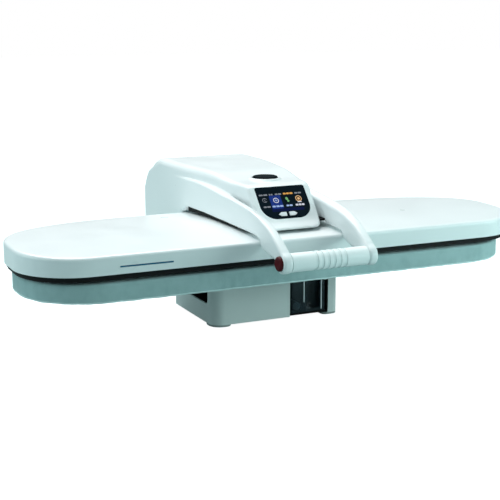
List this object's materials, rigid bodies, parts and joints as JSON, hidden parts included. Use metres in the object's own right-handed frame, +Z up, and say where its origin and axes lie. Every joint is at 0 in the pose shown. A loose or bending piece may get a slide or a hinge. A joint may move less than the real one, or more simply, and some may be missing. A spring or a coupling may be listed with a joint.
{
  "type": "steam ironing press",
  "caption": "Tabletop steam ironing press: long padded board, heated pressing head on a lifting arm with handle and display, box base with a pull-out water tank.",
  "frame": {"origin": "centre of the bounding box's underside, on the surface the feet stand on", "axes": "+X along the board's length to the operator's right, +Y away from the operator, +Z up"},
  "size_m": [0.934, 0.615, 0.2575],
  "materials": {
    "white_gloss": "moulded, high gloss, cool white",
    "base_grey": "moulded, satin, grey-white",
    "black_plastic": "heat resistant, matt black",
    "plate_aluminium": "cast, coated sole",
    "heater_steel": "sheathed heater and fittings",
    "steel": "plain steel",
    "cover_fabric": "teal-grey woven cotton cover",
    "pad_felt": "dense felt and foam",
    "tray_metal": "powder coated",
    "rubber": "moulded rubber",
    "tank_smoke": "smoked translucent",
    "dark_gloss": "glossy, near black",
    "display_screen": "dark screen",
    "key_white": "moulded white",
    "button_red": "moulded dark red",
    "board_green": "circuit board laminate",
    "component_dark": "moulded electronic parts",
    "brass": "machined",
    "hose": "silicone hose"
  },
  "bodies": {
    "base": {"base_housing": "base_grey", "column_housing": "base_grey", "hand_hold_liners": "black_plastic", "tank_bay_liner": "black_plastic", "base_plate": "black_plastic", "base_screws": "steel", "rubber_feet": "rubber", "board_spacers": "black_plastic", "mains_inlet": "black_plastic", "inlet_contacts": "brass", "switch_bezel": "black_plastic", "steam_pump": "component_dark", "pump_bracket": "rubber", "power_board": "board_green", "power_components": "component_dark", "board_posts": "key_white", "docking_valve": "brass", "water_hoses": "hose", "hinge_brackets": "steel", "hinge_bushes": "brass", "torsion_springs": "steel", "board_pan": "tray_metal", "board_pad": "pad_felt", "board_cover": "cover_fabric"},
    "arm": {"arm_cover": "white_gloss", "display_glass": "dark_gloss", "display_module": "display_screen", "control_board": "board_green", "board_components": "component_dark", "dial_encoder": "component_dark", "arm_lower_cover": "black_plastic", "tilt_buffers": "rubber", "arm_frame": "steel", "pivot_lug": "steel", "hinge_shaft": "steel", "handle_struts": "steel", "handle_core": "steel", "handle_grip": "white_gloss", "button_guide": "black_plastic", "button_spring": "steel"},
    "head": {"top_shell": "white_gloss", "insulating_rim": "black_plastic", "heating_plate": "plate_aluminium", "rim_screws": "steel", "heating_element": "heater_steel", "steam_chamber": "plate_aluminium", "steam_elbow": "brass", "thermostat": "heater_steel", "thermal_fuse": "heater_steel", "pivot_block": "steel", "pivot_pin": "steel", "head_screws": "steel"},
    "dial": {"dial_knob": "dark_gloss"},
    "left_key": {"key_left": "key_white"},
    "right_key": {"key_right": "key_white"},
    "release": {"release_button": "button_red"},
    "tank": {"water_tank": "tank_smoke", "tank_filter": "key_white"},
    "tank_lid": {"tank_cap": "key_white"},
    "rocker": {"switch_rocker": "dark_gloss"}
  },
  "joints": [
    {"name": "arm_lift", "type": "hinge", "parent": "base", "child": "arm", "pos_m": [0, 0.2455, 0.112], "axis": [-1, 0, 0], "range_deg": [0, 45], "stiffness_Nm_per_rad": 9, "springref_deg": 131.78},
    {"name": "head_tilt", "type": "hinge", "parent": "arm", "child": "head", "pos_m": [0, -0.0545, 0.16], "axis": [1, 0, 0], "range_deg": [-1.2, 1.2], "stiffness_Nm_per_rad": 150},
    {"name": "dial_turn", "type": "hinge", "parent": "arm", "child": "dial", "pos_m": [0, -0.0605, 0.245], "axis": [0, 0, 1], "range_deg": [-135, 135]},
    {"name": "left_key_press", "type": "slide", "parent": "arm", "child": "left_key", "axis": [0, 0.7553, -0.6553], "range_m": [0, 0.0008], "stiffness_N_per_m": 1500},
    {"name": "right_key_press", "type": "slide", "parent": "arm", "child": "right_key", "axis": [0, 0.7553, -0.6553], "range_m": [0, 0.0008], "stiffness_N_per_m": 1500},
    {"name": "release_press", "type": "slide", "parent": "arm", "child": "release", "axis": [1, 0, 0], "range_m": [0, 0.003], "stiffness_N_per_m": 1200, "deforming": ["button_spring"]},
    {"name": "tank_slide", "type": "slide", "parent": "base", "child": "tank", "axis": [0, -1, 0], "range_m": [0, 0.112]},
    {"name": "tank_cap_turn", "type": "hinge", "parent": "tank", "child": "tank_lid", "pos_m": [0.044, -0.086, 0.084], "axis": [0, 0, 1], "range_deg": [0, 90]},
    {"name": "power_rock", "type": "hinge", "parent": "base", "child": "rocker", "pos_m": [0.044, 0.2965, 0.031], "axis": [0, 0, 1], "range_deg": [-8, 8]}
  ]
}
